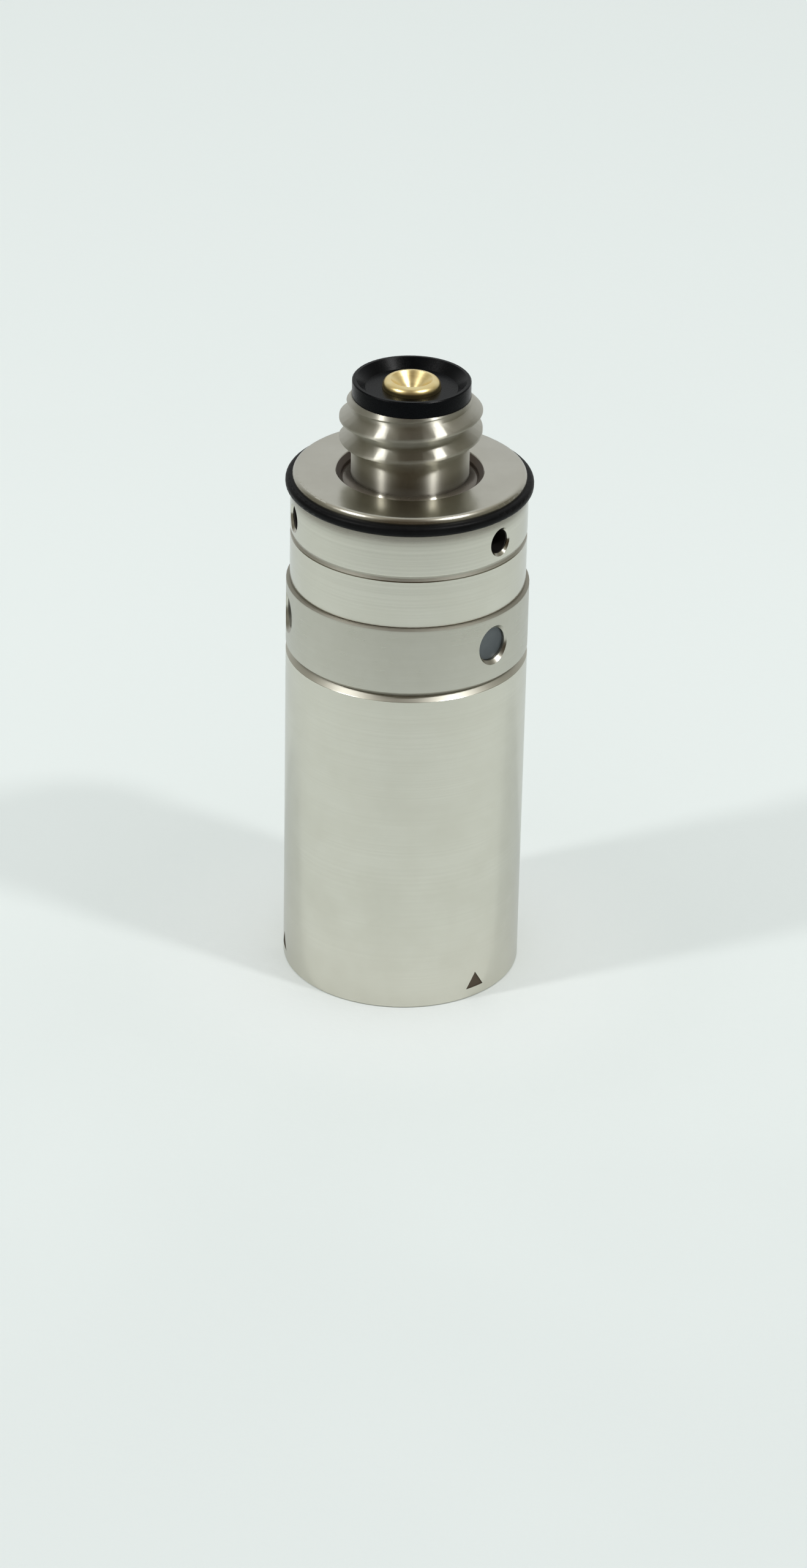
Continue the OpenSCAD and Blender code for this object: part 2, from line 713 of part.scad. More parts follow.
// Soft ring between seat plate and sleeve
module lower_seal() {
    seal_low = seat_z + (seat_t - lower_seal_h) / 2;
    groove_r = seat_r - lower_seal_depth;
    color([0.1, 0.1, 0.1])
        ring_solid(groove_r + fit, lower_bore_r - fit, seal_low + fit, seal_low + lower_seal_h - fit);
}

mount_cap();
seal_ring();
contact_insulator();
centre_contact();
insulating_washer();
contact_nut();
contact_lead();
body_ring();
set_screws();
side_plugs();
chassis();
circuit_board();
signal_chip();
board_components();
sleeve();
strain_web();
strain_gauges();
gauge_flex();
locating_pin();
seat_plate();
seat_rollers();
seat_screws();
magnet();
magnet_cup();
lower_seal();
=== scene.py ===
import math

import bpy
from mathutils import Matrix, Vector

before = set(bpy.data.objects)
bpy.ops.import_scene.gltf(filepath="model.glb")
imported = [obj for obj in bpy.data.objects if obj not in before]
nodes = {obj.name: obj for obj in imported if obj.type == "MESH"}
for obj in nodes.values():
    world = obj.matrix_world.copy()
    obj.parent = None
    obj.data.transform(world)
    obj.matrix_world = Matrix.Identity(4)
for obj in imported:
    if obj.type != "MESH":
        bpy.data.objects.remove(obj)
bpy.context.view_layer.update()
scene = bpy.context.scene
scene.view_settings.view_transform = "Standard"

# Sizes of the part and limits of its finishes, in millimetres
BODY_R = 6.75
CAP_R = 6.55
RING_Z = 19.76
CAP_Z = 23.91
LINE_Z = 26.87
COLLAR_Z = 29.45
FACE_Z = 30.4
SPANNER_Z = 28.1
SPANNER_REACH = 0.8
RECESS_R = 4.1
RECESS_DEPTH = 0.5
STUD_R = 4.1
FOOT_R = 3.7
# The painted shade on the stud's foot is light in front of the first place and full behind the second, in
# millimetres along Y
FOOT_SHADE_FADES_Y = -2.95
FOOT_SHADE_FULL_Y = -2.5
THREAD_LOW = 32.0
THREAD_HIGH = 34.4
MARK_LOW = 0.5
MARK_HIGH = 1.7
MARK_INNER_R = 6.5
MARK_INSET = 0.028

# One millimetre in the scene's metres
MM = 0.001


# Node helpers

class Graph:
    """A material's node tree with a Principled shader and short ways to add nodes."""

    def __init__(self, name):
        self.material = bpy.data.materials.new(name)
        self.material.use_nodes = True
        self.tree = self.material.node_tree
        self.shader = self.tree.nodes["Principled BSDF"]
        self._mm = None
        self._radius = None

    def node(self, kind, **settings):
        made = self.tree.nodes.new(kind)
        for key, value in settings.items():
            setattr(made, key, value)
        return made

    def feed(self, socket, value):
        if isinstance(value, bpy.types.NodeSocket):
            self.tree.links.new(value, socket)
        else:
            socket.default_value = value

    def math(self, operation, a, b):
        made = self.node("ShaderNodeMath", operation=operation)
        self.feed(made.inputs[0], a)
        self.feed(made.inputs[1], b)
        return made.outputs[0]

    def times(self, a, b):
        return self.math("MULTIPLY", a, b)

    def most(self, first, *others):
        """The highest of several masks."""
        for other in others:
            first = self.math("MAXIMUM", first, other)
        return first

    def vector(self, operation, a, b=(0, 0, 0), scale=1.0):
        made = self.node("ShaderNodeVectorMath", operation=operation)
        self.feed(made.inputs[0], a)
        self.feed(made.inputs[1], b)
        if operation == "SCALE":
            made.inputs["Scale"].default_value = scale
        return made.outputs["Value" if operation == "LENGTH" else "Vector"]

    @property
    def mm(self):
        """Position on the part in millimetres."""
        if self._mm is None:
            place = self.node("ShaderNodeTexCoord").outputs["Object"]
            self._mm = self.vector("SCALE", place, scale=1 / MM)
        return self._mm

    def axis(self, name):
        parts = self.node("ShaderNodeSeparateXYZ")
        self.feed(parts.inputs[0], self.mm)
        return parts.outputs[name]

    @property
    def height(self):
        return self.axis("Z")

    @property
    def radius(self):
        """Distance from the part's axis in millimetres."""
        if self._radius is None:
            flat = self.vector("MULTIPLY", self.mm, (1, 1, 0))
            self._radius = self.vector("LENGTH", flat)
        return self._radius

    def ramp(self, value, low, high, to_low=0.0, to_high=1.0):
        """Smooth change from one number to another while a value runs between two limits."""
        made = self.node("ShaderNodeMapRange", interpolation_type="SMOOTHSTEP")
        self.feed(made.inputs["Value"], value)
        for name, number in (("From Min", low), ("From Max", high), ("To Min", to_low), ("To Max", to_high)):
            made.inputs[name].default_value = number
        return made.outputs["Result"]

    def band(self, value, low, high, soft):
        """1 between two limits, fading out over a soft width on each side."""
        rise = self.ramp(value, low - soft, low + soft)
        fall = self.ramp(value, high - soft, high + soft, 1.0, 0.0)
        return self.times(rise, fall)

    def noise(self, scale, detail=2.0, roughness=0.5, place=None):
        made = self.node("ShaderNodeTexNoise")
        self.feed(made.inputs["Vector"], place if place is not None else self.mm)
        made.inputs["Scale"].default_value = scale
        made.inputs["Detail"].default_value = detail
        made.inputs["Roughness"].default_value = roughness
        return made.outputs["Fac"]

    def mix(self, factor, a, b):
        made = self.node("ShaderNodeMix", data_type="RGBA")
        self.feed(made.inputs["Factor"], factor)
        self.feed(made.inputs["A"], a)
        self.feed(made.inputs["B"], b)
        return made.outputs["Result"]

    def bump(self, height, microns):
        made = self.node("ShaderNodeBump")
        made.inputs["Strength"].default_value = 1.0
        made.inputs["Distance"].default_value = microns * 1e-6
        self.feed(made.inputs["Height"], height)
        return made.outputs["Normal"]

    def lathe_place(self, waver):
        """Radius and height with a slight drift, so that a texture runs round as turning marks do."""
        made = self.node("ShaderNodeCombineXYZ")
        self.feed(made.inputs["X"], self.radius)
        self.feed(made.inputs["Z"], self.height)
        drift = self.vector("SCALE", self.mm, scale=waver)
        return self.vector("ADD", made.outputs[0], drift)

    def tangent_round(self):
        """Tangent that runs round the part's axis."""
        made = self.node("ShaderNodeTangent", direction_type="RADIAL", axis="Z")
        self.feed(self.shader.inputs["Tangent"], made.outputs[0])

    def set(self, **values):
        for key, value in values.items():
            self.feed(self.shader.inputs[key.replace("_", " ")], value)


# Turned steel

STEEL = (0.665, 0.65, 0.572)
STEEL_PALE = (0.69, 0.675, 0.598)
STEEL_DEEP = (0.635, 0.618, 0.54)
STEEL_AT_A_SLANT = (0.84, 0.84, 0.85, 1)
# Dark tone for the sleeve's marks and the darker seams, also used as painted shade under the seal and on the
# stud's lower end
DARK_AND_SHADE = (0.085, 0.062, 0.04, 1)
# Reddish-brown painted shade, down in the recess round the stud
BROWN_SHADE = (0.05, 0.024, 0.01, 1)
# Painted shade inside the spanner holes
HOLE_SHADE = (0.012, 0.009, 0.007, 1)
ROUGH_DRIFT = 0.02
DARK_AND_SHADE_ROUGH = 0.6
DARK_AND_SHADE_METAL = 0.35


def turned_steel(name, rough, anisotropic, marks, shade, darkening_and_shade, dull=None, painted_shade=None, polish=None):
    """Turned stainless steel: fine rings, faint handling marks, darkening in the seams, painted shade in
    hollows and under the seal, and dulled edges.
    """
    plain = tuple(c * shade for c in STEEL) + (1,)
    pale = tuple(c * shade for c in STEEL_PALE) + (1,)
    deep = tuple(c * shade for c in STEEL_DEEP) + (1,)
    g = Graph(name)
    cloud = g.noise(0.42, 3.0, 0.55)
    fine = g.noise(3.2, 2.0, 0.6)
    rings = g.noise(14.0, 3.0, 0.6, g.lathe_place(0.001))
    tone = g.mix(g.ramp(cloud, 0.3, 0.7), deep, pale)
    tone = g.mix(g.ramp(fine, 0.35, 0.75, 0.0, 0.35), tone, plain)
    tone = g.mix(g.ramp(rings, 0.25, 0.75, 0.0, 0.3), tone, deep)
    roughness = g.math("ADD", g.ramp(cloud, 0.25, 0.75, rough - ROUGH_DRIFT, rough + ROUGH_DRIFT),
                       g.ramp(rings, 0.3, 0.7, -ROUGH_DRIFT, ROUGH_DRIFT))
    # Darkening in the seams and painted shade are mixed into the colour here
    mask = darkening_and_shade(g)
    tone = g.mix(mask, tone, DARK_AND_SHADE)
    for shade_mask, colour in (painted_shade(g) if painted_shade is not None else ()):
        tone = g.mix(shade_mask, tone, colour)
        mask = g.most(mask, shade_mask)
    roughness = g.most(roughness, g.times(mask, DARK_AND_SHADE_ROUGH))
    if dull is not None:
        roughness = g.most(roughness, dull(g))
    if polish is not None:
        roughness = g.times(roughness, polish(g))
    g.set(Base_Color=tone, Roughness=roughness, Normal=g.bump(rings, marks),
          Metallic=g.ramp(mask, 0.2, 1.0, 1.0, DARK_AND_SHADE_METAL), Anisotropic=anisotropic,
          Anisotropic_Rotation=0.25, Specular_Tint=STEEL_AT_A_SLANT)
    g.tangent_round()
    return g.material


def sleeve_marks_and_seam(g):
    """Dark triangles at the sleeve's foot, and a little darker at its upper seam."""
    sunk = g.band(g.radius, MARK_INNER_R, BODY_R - MARK_INSET, 0.006)
    marks = g.times(sunk, g.band(g.height, MARK_LOW, MARK_HIGH, 0.02))
    return g.most(marks, g.ramp(g.height, RING_Z - 0.1, RING_Z, 0.0, 0.3))


def sleeve_dull(g):
    """The bevel at the sleeve's upper end."""
    return g.ramp(g.height, RING_Z - 0.3, RING_Z - 0.26, 0.0, 0.52)


def ring_seam_darkening(g):
    """Darker in the seams at both ends of the ring."""
    low = g.ramp(g.height, RING_Z, RING_Z + 0.32, 0.25, 0.0)
    high = g.ramp(g.height, CAP_Z - 0.22, CAP_Z, 0.0, 0.25)
    return g.most(low, high)


def ring_dull(g):
    """The bevels at both ends of the ring."""
    low = g.ramp(g.height, RING_Z + 0.26, RING_Z + 0.3, 0.6, 0.0)
    high = g.ramp(g.height, CAP_Z - 0.12, CAP_Z - 0.1, 0.0, 0.6)
    return g.most(low, high)


def cap_darkening_and_shade(g):
    """Darker in the lower seam and the turned line and a little darker on the face, with painted shade and
    reflection of the seal as a dark bloom under it.
    """
    low = g.ramp(g.height, CAP_Z, CAP_Z + 0.2, 0.25, 0.0)
    line = g.times(g.band(g.height, LINE_Z - 0.15, LINE_Z + 0.15, 0.1), 0.18)
    face = g.ramp(g.height, FACE_Z - 0.1, FACE_Z - 0.01, 0.0, 0.12)
    # Painted shade and reflection of the black seal on the collar just under it
    shade_under_seal = g.times(g.ramp(g.height, COLLAR_Z - 0.95, COLLAR_Z, 0.0, 0.55),
                    g.ramp(g.height, COLLAR_Z + 0.05, COLLAR_Z + 0.3, 1.0, 0.0))
    return g.most(low, line, face, shade_under_seal)


def cap_painted_shade(g):
    """Painted reddish-brown shade in the recess round the stud, and painted shade in the spanner holes."""
    recess = g.times(g.ramp(g.height, FACE_Z - 0.06, FACE_Z - 0.02, 0.9, 0.0),
                     g.band(g.radius, FOOT_R - 0.03, RECESS_R + 0.1, 0.02))
    holes = g.times(g.band(g.height, SPANNER_Z - SPANNER_REACH, SPANNER_Z + SPANNER_REACH, 0.02),
                    g.ramp(g.radius, CAP_R - 0.22, CAP_R - 0.14, 1.0, 0.0))
    return (recess, BROWN_SHADE), (holes, HOLE_SHADE)


def cap_dull(g):
    """The turned line, the lower seam, the rounded lip and the flat face."""
    line = g.times(g.band(g.height, LINE_Z - 0.15, LINE_Z + 0.15, 0.01), 0.55)
    low = g.ramp(g.height, CAP_Z + 0.06, CAP_Z + 0.08, 0.6, 0.0)
    lip = g.times(g.ramp(g.height, COLLAR_Z + 0.5, COLLAR_Z + 0.6, 0.0, 0.26),
                  g.ramp(g.radius, CAP_R - 0.45, CAP_R - 0.35))
    face = g.ramp(g.height, FACE_Z - 0.02, FACE_Z - 0.01, 0.0, 0.22)
    return g.most(line, low, lip, face)


def stud_relief_shade(g):
    """Painted shade on the lower end of the stud's relief, which also dulls it."""
    return g.ramp(g.height, FACE_Z - 0.1, FACE_Z + 1.1, 0.38, 0.0)


def stud_foot_shade(g):
    """Painted reddish-brown shade on the stud's rounded foot, down in the recess, lighter at the front."""
    foot = g.ramp(g.height, FACE_Z - 0.35, FACE_Z + 0.05, 0.62, 0.0)
    shade_share = g.ramp(g.axis("Y"), FOOT_SHADE_FADES_Y, FOOT_SHADE_FULL_Y, 0.1, 1.0)
    return ((g.times(foot, shade_share), BROWN_SHADE),)


def stud_polish(g):
    """The rounded foot is smoother than the stud above it."""
    return g.ramp(g.height, FACE_Z - 0.25, FACE_Z + 0.05, 0.42, 1.0)


# Other materials

def plain_metal(name, dark, pale, rough, scale, microns):
    """Machined or plated metal with a fine grain and a slow change of tone."""
    g = Graph(name)
    slow = g.noise(0.8, 3.0)
    grain = g.noise(scale, 4.0, 0.65)
    tone = g.mix(g.ramp(slow, 0.3, 0.7), dark, pale)
    tone = g.mix(g.ramp(grain, 0.3, 0.8, 0.0, 0.4), tone, dark)
    g.set(Base_Color=tone, Metallic=1.0, Roughness=g.ramp(grain, 0.25, 0.75, rough - 0.06, rough + 0.08),
          Normal=g.bump(grain, microns))
    return g.material


def moulded(name, dark, pale, rough, scale, microns, coat=0.0, specular=0.5):
    """Plastic, rubber, film or solder mask: a fine skin texture and a slight change of tone."""
    g = Graph(name)
    slow = g.noise(0.9, 3.0)
    grain = g.noise(scale, 3.0, 0.6)
    tone = g.mix(g.ramp(slow, 0.3, 0.7), dark, pale)
    g.set(Base_Color=tone, Roughness=g.ramp(grain, 0.2, 0.8, rough - 0.07, rough + 0.07),
          Normal=g.bump(grain, microns), Coat_Weight=coat, Coat_Roughness=0.08, Specular_IOR_Level=specular)
    return g.material


def gold(name):
    """Gold plating, lightly worn where the mating pin has rubbed in the dimple."""
    g = Graph(name)
    slow = g.noise(1.6, 3.0)
    rings = g.noise(16.0, 3.0, 0.6, g.lathe_place(0.02))
    tone = g.mix(g.ramp(slow, 0.3, 0.7), (0.91, 0.72, 0.34, 1), (0.95, 0.8, 0.44, 1))
    tone = g.mix(g.ramp(g.radius, 0.1, 0.9, 0.35, 0.0), tone, (0.93, 0.8, 0.5, 1))
    g.set(Base_Color=tone, Metallic=1.0, Roughness=g.ramp(rings, 0.25, 0.75, 0.28, 0.36),
          Normal=g.bump(rings, 0.4))
    return g.material


def board_mask(name):
    """Green solder mask with tracks that show through it."""
    g = Graph(name)
    tracks = g.node("ShaderNodeTexBrick", offset=0.5, squash=1.0)
    place = g.node("ShaderNodeCombineXYZ")
    g.feed(place.inputs["X"], g.height)
    g.feed(place.inputs["Y"], g.axis("X"))
    g.feed(tracks.inputs["Vector"], place.outputs[0])
    tracks.inputs["Scale"].default_value = 1.4
    tracks.inputs["Mortar Size"].default_value = 0.03
    lines = tracks.outputs["Fac"]
    tone = g.mix(g.ramp(g.noise(1.2, 3.0), 0.3, 0.7), (0.012, 0.07, 0.028, 1), (0.02, 0.1, 0.04, 1))
    tone = g.mix(lines, tone, (0.035, 0.16, 0.06, 1))
    g.set(Base_Color=tone, Roughness=g.ramp(g.noise(6.0), 0.3, 0.7, 0.3, 0.42), Normal=g.bump(lines, 12.0),
          Coat_Weight=0.3)
    return g.material


def gauge_film(name):
    """Foil grid on an amber film."""
    g = Graph(name)
    wave = g.node("ShaderNodeTexWave", wave_type="BANDS", bands_direction="X", wave_profile="SAW")
    g.feed(wave.inputs["Vector"], g.mm)
    wave.inputs["Scale"].default_value = 1.6
    lines = g.ramp(wave.outputs["Fac"], 0.4, 0.6)
    g.set(Base_Color=g.mix(lines, (0.42, 0.19, 0.03, 1), (0.6, 0.36, 0.14, 1)), Metallic=lines,
          Roughness=g.ramp(g.noise(8.0), 0.3, 0.7, 0.3, 0.45), Normal=g.bump(lines, 4.0))
    return g.material


dark_steel = plain_metal("screw_steel", (0.06, 0.06, 0.065, 1), (0.1, 0.1, 0.105, 1), 0.38, 5.0, 4.0)
black_rubber = moulded("seal_rubber", (0.0035, 0.0036, 0.004, 1), (0.006, 0.0061, 0.0066, 1), 0.42, 9.0, 4.0,
                       specular=0.08)
stud_steel = turned_steel("stud_steel", rough=0.46, anisotropic=1.0, marks=0.4, shade=0.98,
                          darkening_and_shade=stud_relief_shade, painted_shade=stud_foot_shade, polish=stud_polish)
materials = {
    "mount_cap": turned_steel("cap_steel", rough=0.18, anisotropic=0.4, marks=0.15, shade=0.97,
                              darkening_and_shade=cap_darkening_and_shade, dull=cap_dull, painted_shade=cap_painted_shade),
    "body_ring": turned_steel("ring_steel", rough=0.3, anisotropic=0.2, marks=0.2, shade=0.86,
                              darkening_and_shade=ring_seam_darkening, dull=ring_dull),
    "sleeve": turned_steel("sleeve_steel", rough=0.23, anisotropic=0.5, marks=0.2, shade=1.02,
                           darkening_and_shade=sleeve_marks_and_seam, dull=sleeve_dull),
    "seal_ring": black_rubber,
    "lower_seal": black_rubber,
    "contact_insulator": moulded("insulator_black", (0.0012, 0.0016, 0.0024, 1), (0.002, 0.0026, 0.0036, 1),
                                 0.26, 11.0, 2.0, specular=0.1),
    "centre_contact": gold("contact_gold"),
    "insulating_washer": moulded("washer_natural", (0.56, 0.5, 0.33, 1), (0.66, 0.6, 0.42, 1),
                                 0.45, 6.0, 5.0),
    "contact_nut": plain_metal("nut_brass", (0.55, 0.38, 0.12, 1), (0.68, 0.5, 0.2, 1), 0.3, 5.0, 3.0),
    "contact_lead": plain_metal("lead_copper", (0.5, 0.2, 0.07, 1), (0.62, 0.28, 0.11, 1), 0.32, 7.0, 3.0),
    "set_screws": dark_steel,
    "seat_screws": dark_steel,
    "side_plugs": moulded("plug_grey", (0.06, 0.072, 0.079, 1), (0.08, 0.093, 0.1, 1), 0.4, 7.0, 2.0),
    "chassis": plain_metal("chassis_steel", (0.42, 0.42, 0.43, 1), (0.55, 0.55, 0.56, 1), 0.36, 4.0, 3.0),
    "circuit_board": board_mask("board_green"),
    "signal_chip": moulded("chip_black", (0.012, 0.012, 0.013, 1), (0.02, 0.02, 0.021, 1), 0.5, 10.0, 8.0),
    "board_components": moulded("component_tan", (0.3, 0.21, 0.12, 1), (0.4, 0.3, 0.18, 1), 0.4, 8.0, 5.0),
    "strain_web": plain_metal("web_steel", (0.48, 0.47, 0.44, 1), (0.6, 0.59, 0.55, 1), 0.3, 5.0, 2.0),
    "strain_gauges": gauge_film("gauge_foil"),
    "gauge_flex": moulded("flex_amber", (0.38, 0.14, 0.015, 1), (0.5, 0.21, 0.03, 1), 0.32, 6.0, 3.0,
                          coat=0.4),
    "locating_pin": plain_metal("pin_steel", (0.42, 0.42, 0.42, 1), (0.56, 0.56, 0.56, 1), 0.25, 6.0, 1.5),
    "seat_plate": plain_metal("plate_steel", (0.4, 0.39, 0.36, 1), (0.53, 0.52, 0.48, 1), 0.34, 4.0, 3.0),
    "seat_rollers": plain_metal("roller_steel", (0.62, 0.62, 0.64, 1), (0.72, 0.72, 0.74, 1), 0.14, 9.0, 0.6),
    "magnet": plain_metal("magnet_nickel", (0.42, 0.41, 0.39, 1), (0.52, 0.51, 0.48, 1), 0.24, 6.0, 1.5),
    "magnet_cup": plain_metal("cup_iron", (0.16, 0.16, 0.165, 1), (0.23, 0.23, 0.235, 1), 0.42, 4.0, 5.0),
}


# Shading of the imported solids: corners stay crisp and turned surfaces become smooth

class Fields:
    """A geometry node group with one geometry in and one out, and short ways to add nodes."""

    def __init__(self, name):
        self.group = bpy.data.node_groups.new(name, "GeometryNodeTree")
        for way in ("INPUT", "OUTPUT"):
            self.group.interface.new_socket("Geometry", in_out=way, socket_type="NodeSocketGeometry")
        self.link = self.group.links.new
        self.start = self.node("NodeGroupInput").outputs[0]
        self.end = self.node("NodeGroupOutput").inputs[0]
        self.place = self.node("GeometryNodeInputPosition").outputs[0]

    def node(self, kind, **settings):
        made = self.group.nodes.new(kind)
        for key, value in settings.items():
            setattr(made, key, value)
        return made

    def math(self, operation, *values):
        """A math node fed with numbers or sockets."""
        made = self.node("ShaderNodeMath", operation=operation)
        for socket, value in zip(made.inputs, values):
            if isinstance(value, bpy.types.NodeSocket):
                self.link(value, socket)
            else:
                socket.default_value = value
        return made.outputs[0]

    def height(self):
        """Height on the part in metres."""
        parts = self.node("ShaderNodeSeparateXYZ")
        self.link(self.place, parts.inputs[0])
        return parts.outputs["Z"]

    def radius(self):
        """Distance from the part's axis in metres."""
        flat = self.node("ShaderNodeVectorMath", operation="MULTIPLY")
        flat.inputs[1].default_value = (1, 1, 0)
        self.link(self.place, flat.inputs[0])
        reach = self.node("ShaderNodeVectorMath", operation="LENGTH")
        self.link(flat.outputs[0], reach.inputs[0])
        return reach.outputs["Value"]


def smooth_group(name, angle, thread_angle):
    """Shades smooth wherever faces meet at less than an angle, with an angle of its own along the thread."""
    fields = Fields(name)
    plain = fields.node("GeometryNodeRemoveAttribute")
    plain.inputs["Name"].default_value = "custom_normal"
    weld = fields.node("GeometryNodeMergeByDistance")
    weld.inputs["Distance"].default_value = 1e-8
    faces = fields.node("GeometryNodeSetShadeSmooth", domain="FACE")
    edges = fields.node("GeometryNodeSetShadeSmooth", domain="EDGE")
    turn = fields.node("GeometryNodeInputMeshEdgeAngle")
    along_thread = fields.math("COMPARE", fields.height(), (THREAD_LOW + THREAD_HIGH) / 2 * MM,
                               (THREAD_HIGH - THREAD_LOW) / 2 * MM)
    limit = fields.math("MULTIPLY_ADD", along_thread, thread_angle - angle, angle)
    flat = fields.node("FunctionNodeCompare", data_type="FLOAT", operation="LESS_EQUAL")
    fields.link(turn.outputs["Unsigned Angle"], flat.inputs[0])
    fields.link(limit, flat.inputs[1])
    fields.link(flat.outputs[0], edges.inputs["Shade Smooth"])
    fields.link(fields.start, plain.inputs["Geometry"])
    fields.link(plain.outputs["Geometry"], weld.inputs["Geometry"])
    fields.link(weld.outputs["Geometry"], faces.inputs["Geometry"])
    fields.link(faces.outputs["Geometry"], edges.inputs["Geometry"])
    fields.link(edges.outputs["Geometry"], fields.end)
    return fields.group


def stud_group(material):
    """Gives the stud, down to its rounded foot in the recess, a material of its own."""
    fields = Fields("stud_finish")
    height = fields.height()
    above = fields.math("GREATER_THAN", height, (FACE_Z + 0.05) * MM)
    limit = fields.math("MULTIPLY_ADD", above, (STUD_R - FOOT_R) * MM, FOOT_R * MM)
    near = fields.math("LESS_THAN", fields.radius(), limit)
    reached = fields.math("GREATER_THAN", height, (FACE_Z - RECESS_DEPTH - 0.05) * MM)
    finish = fields.node("GeometryNodeSetMaterial")
    finish.inputs["Material"].default_value = material
    fields.link(fields.math("MULTIPLY", near, reached), finish.inputs["Selection"])
    fields.link(fields.start, finish.inputs["Geometry"])
    fields.link(finish.outputs["Geometry"], fields.end)
    return fields.group


# The shallow turned line keeps crisp edges, and the thread's worn crests do not
CRISP = math.radians(18)
WORN = math.radians(66)
smoothing = smooth_group("smooth_by_angle", CRISP, CRISP)
cap_smoothing = smooth_group("smooth_thread", CRISP, WORN)
for name, node in nodes.items():
    node.data.materials.clear()
    node.data.materials.append(materials[name])
    node.modifiers.new("smooth", "NODES").node_group = cap_smoothing if name == "mount_cap" else smoothing
nodes["mount_cap"].modifiers.new("stud", "NODES").node_group = stud_group(stud_steel)


# Floor, left open under the foot so that the seat can be seen from below

FLOOR_RADII = (0.0062, 0.05, 0.4, 4.0)
FLOOR_STEPS = 96
# Painted shade on the table towards the front
FLOOR_SHADED_FRONT = (0.795, 0.84, 0.825, 1)
FLOOR_BACK = (0.862, 0.91, 0.893, 1)
# Painted glow of light reflected from the metal onto the table round the foot
FLOOR_GLOW_AT_FOOT = (0.94, 0.975, 0.965, 1)


def mesh_object(name, places, faces):
    mesh = bpy.data.meshes.new(name)
    mesh.from_pydata(places, [], faces)
    made = bpy.data.objects.new(name, mesh)
    scene.collection.objects.link(made)
    return made


def floor_rings():
    """Flat rings of faces round the axis, facing up."""
    places, faces = [], []
    for r in FLOOR_RADII:
        for i in range(FLOOR_STEPS):
            turn = 2 * math.pi * i / FLOOR_STEPS
            places.append((r * math.cos(turn), r * math.sin(turn), 0.0))
    for start in range(0, FLOOR_STEPS * (len(FLOOR_RADII) - 1), FLOOR_STEPS):
        for i in range(FLOOR_STEPS):
            j = (i + 1) % FLOOR_STEPS
            faces.append((start + i, start + FLOOR_STEPS + i, start + FLOOR_STEPS + j, start + j))
    return mesh_object("floor", places, faces)


def table_cloth():
    """Pale table, seen from above only, with painted shade towards the front and a painted glow of light from
    the metal round the foot.
    """
    g = Graph("table")
    grain = g.noise(1.1, 4.0, 0.6)
    near = g.math("ADD", g.axis("Y"), g.ramp(g.noise(0.035, 2.0), 0.3, 0.7, -8.0, 8.0))
    tone = g.mix(g.ramp(near, -60.0, 10.0), FLOOR_SHADED_FRONT, FLOOR_BACK)
    tone = g.mix(g.ramp(g.radius, 8.0, 18.0, 0.7, 0.0), tone, FLOOR_GLOW_AT_FOOT)
    g.set(Base_Color=tone, Roughness=0.75, Normal=g.bump(grain, 25.0), Specular_IOR_Level=0.2)
    under = g.node("ShaderNodeBsdfTransparent")
    side = g.node("ShaderNodeMixShader")
    g.feed(side.inputs[0], g.node("ShaderNodeNewGeometry").outputs["Backfacing"])
    g.feed(side.inputs[1], g.shader.outputs[0])
    g.feed(side.inputs[2], under.outputs[0])
    g.feed(g.tree.nodes["Material Output"].inputs["Surface"], side.outputs[0])
    return g.material


floor = floor_rings()
floor.data.materials.append(table_cloth())


# Light: an even pale surround, two small lamps, and a dim tent where the photographer stood

SURROUND = (0.705, 0.722, 0.716, 1)
LAMP_DISTANCE = 0.6
LAMP_SIZE = 0.05
GLINT_SIZE = 0.08
RIGHT = (58.5, 54)
LEFT = (-65.5, 46)


def lamp(name, place, size, power, glossy_only=False):
    """Round lamp at an azimuth from the front towards the right and an elevation, both in degrees."""
    azimuth, elevation = (math.radians(angle) for angle in place)
    bearing = Vector((math.sin(azimuth) * math.cos(elevation), -math.cos(azimuth) * math.cos(elevation),
                      math.sin(elevation)))
    light = bpy.data.lights.new(name, "AREA")
    light.shape = "DISK"
    light.size = size
    light.energy = power
    made = bpy.data.objects.new(name, light)
    made.location = bearing * LAMP_DISTANCE
    made.rotation_euler = bearing.to_track_quat("Z", "Y").to_euler()
    made.visible_diffuse = not glossy_only
    scene.collection.objects.link(made)


lamp("right_lamp", RIGHT, LAMP_SIZE, 0.56)
lamp("left_lamp", LEFT, LAMP_SIZE, 0.62)
lamp("right_glint", RIGHT, GLINT_SIZE, 0.85, glossy_only=True)
lamp("left_glint", LEFT, GLINT_SIZE, 0.45, glossy_only=True)

world = bpy.data.worlds.new("surround")
world.use_nodes = True
world.node_tree.nodes["Background"].inputs["Color"].default_value = SURROUND
scene.world = world

# Dim tent round the front and the sides, seen only in the metal: the photo's room was dark there
TENT_R = 0.078
TENT_ROWS = ((TENT_R, 0.0), (TENT_R, 0.06), (TENT_R * 0.7, 0.15), (0.002, 0.2))
TENT_REACH = math.radians(165)
TENT_STEPS = 66
TENT_LOW_SIDE = (0.17, 0.163, 0.13, 1)
TENT_LOW_FRONT = (0.055, 0.04, 0.024, 1)
TENT_HIGH_SIDE = (0.43, 0.41, 0.35, 1)
TENT_HIGH_FRONT = (0.12, 0.1, 0.075, 1)


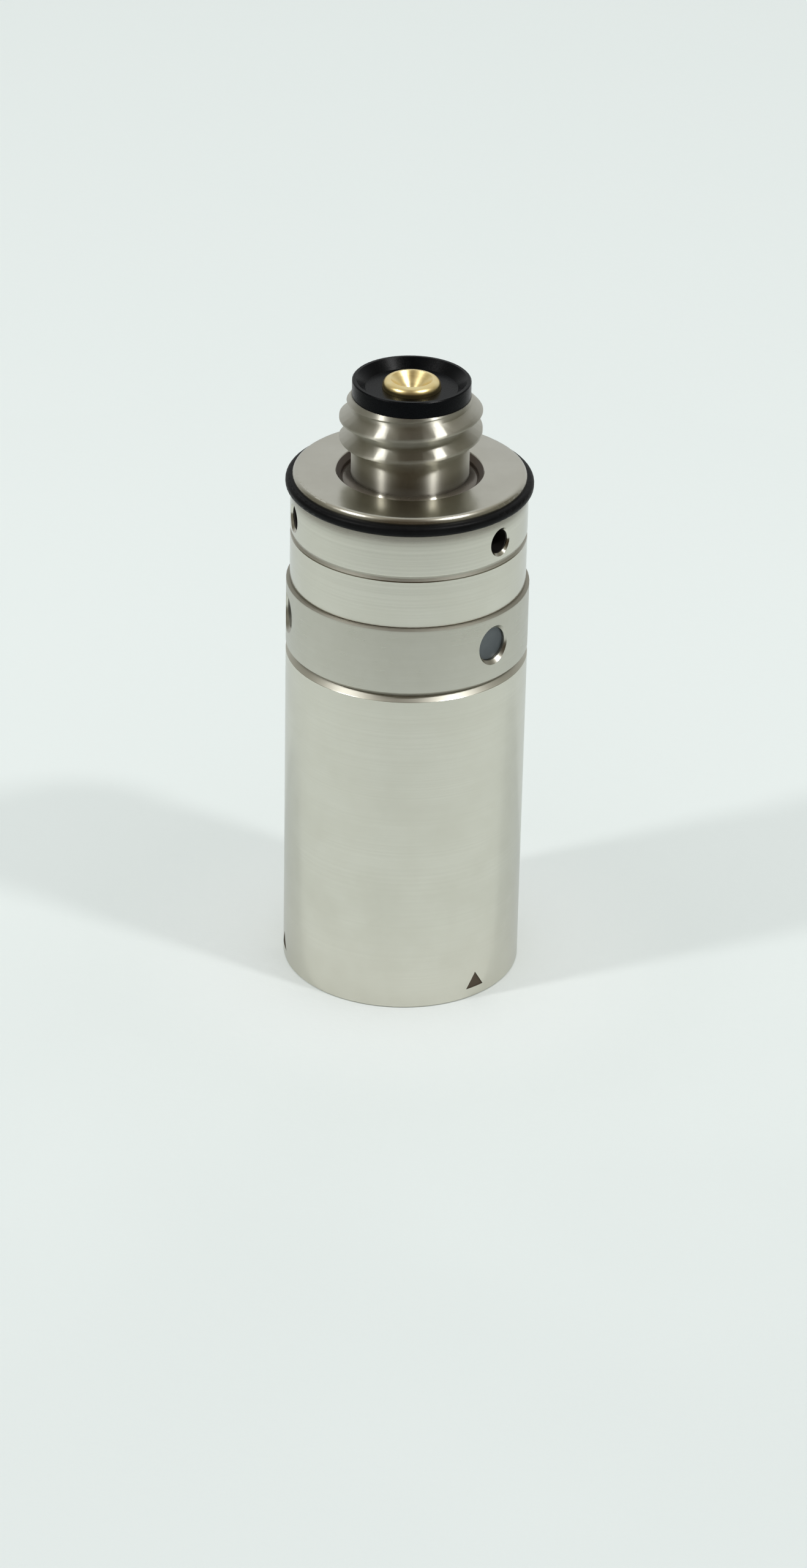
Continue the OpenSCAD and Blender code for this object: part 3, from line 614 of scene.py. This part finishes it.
def tent_shell():
    """Dome of radii and heights, open at the back."""
    places, faces = [], []
    for i in range(TENT_STEPS + 1):
        turn = TENT_REACH * (2 * i / TENT_STEPS - 1)
        places += [(r * math.sin(turn), -r * math.cos(turn), z) for r, z in TENT_ROWS]
    for i in range(TENT_STEPS):
        for k in range(len(TENT_ROWS) - 1):
            a = i * len(TENT_ROWS) + k
            b = a + len(TENT_ROWS)
            faces.append((a, b, b + 1, a + 1))
    return mesh_object("tent", places, faces)


def tent_cloth():
    """Faint glow, darkest at the front, that fades into the surround at the open ends."""
    g = Graph("tent_cloth")
    behind = g.math("DIVIDE", g.axis("Y"), g.radius)
    front = g.ramp(behind, -0.95, -0.75, 1.0, 0.0)
    low = g.mix(front, TENT_LOW_SIDE, TENT_LOW_FRONT)
    high = g.mix(front, TENT_HIGH_SIDE, TENT_HIGH_FRONT)
    glow = g.mix(g.ramp(g.height, 50.0, 120.0), low, high)
    glow = g.mix(g.ramp(behind, 0.25, 0.94), glow, SURROUND)
    g.set(Base_Color=(0, 0, 0, 1), Specular_IOR_Level=0.0, Emission_Strength=1.0, Emission_Color=glow)
    return g.material


tent = tent_shell()
tent.visible_camera = False
tent.visible_diffuse = False
tent.visible_shadow = False
tent.visible_transmission = False
tent.data.materials.append(tent_cloth())


# Camera, as fitted to the photo

PITCH = math.radians(28.56)
ROLL = math.radians(1.181)
CAMERA_Y = -0.23624
CAMERA_Z = 0.13934
FOCAL_PX = 7735
PHOTO_HEIGHT_PX = 2560
SENSOR_MM = 36.0

ahead = Vector((0, math.cos(PITCH), -math.sin(PITCH)))
right = Vector((1, 0, 0))
up = right.cross(ahead)
across = right * math.cos(ROLL) + up * math.sin(ROLL)
upward = up * math.cos(ROLL) - right * math.sin(ROLL)
lens = bpy.data.cameras.new("camera")
lens.sensor_width = SENSOR_MM
lens.lens = SENSOR_MM * FOCAL_PX / PHOTO_HEIGHT_PX
lens.clip_start = 0.01
lens.clip_end = 20
camera = bpy.data.objects.new("camera", lens)
camera.matrix_world = Matrix((
    (across.x, upward.x, -ahead.x, 0.0),
    (across.y, upward.y, -ahead.y, CAMERA_Y),
    (across.z, upward.z, -ahead.z, CAMERA_Z),
    (0, 0, 0, 1)))
scene.collection.objects.link(camera)
scene.camera = camera
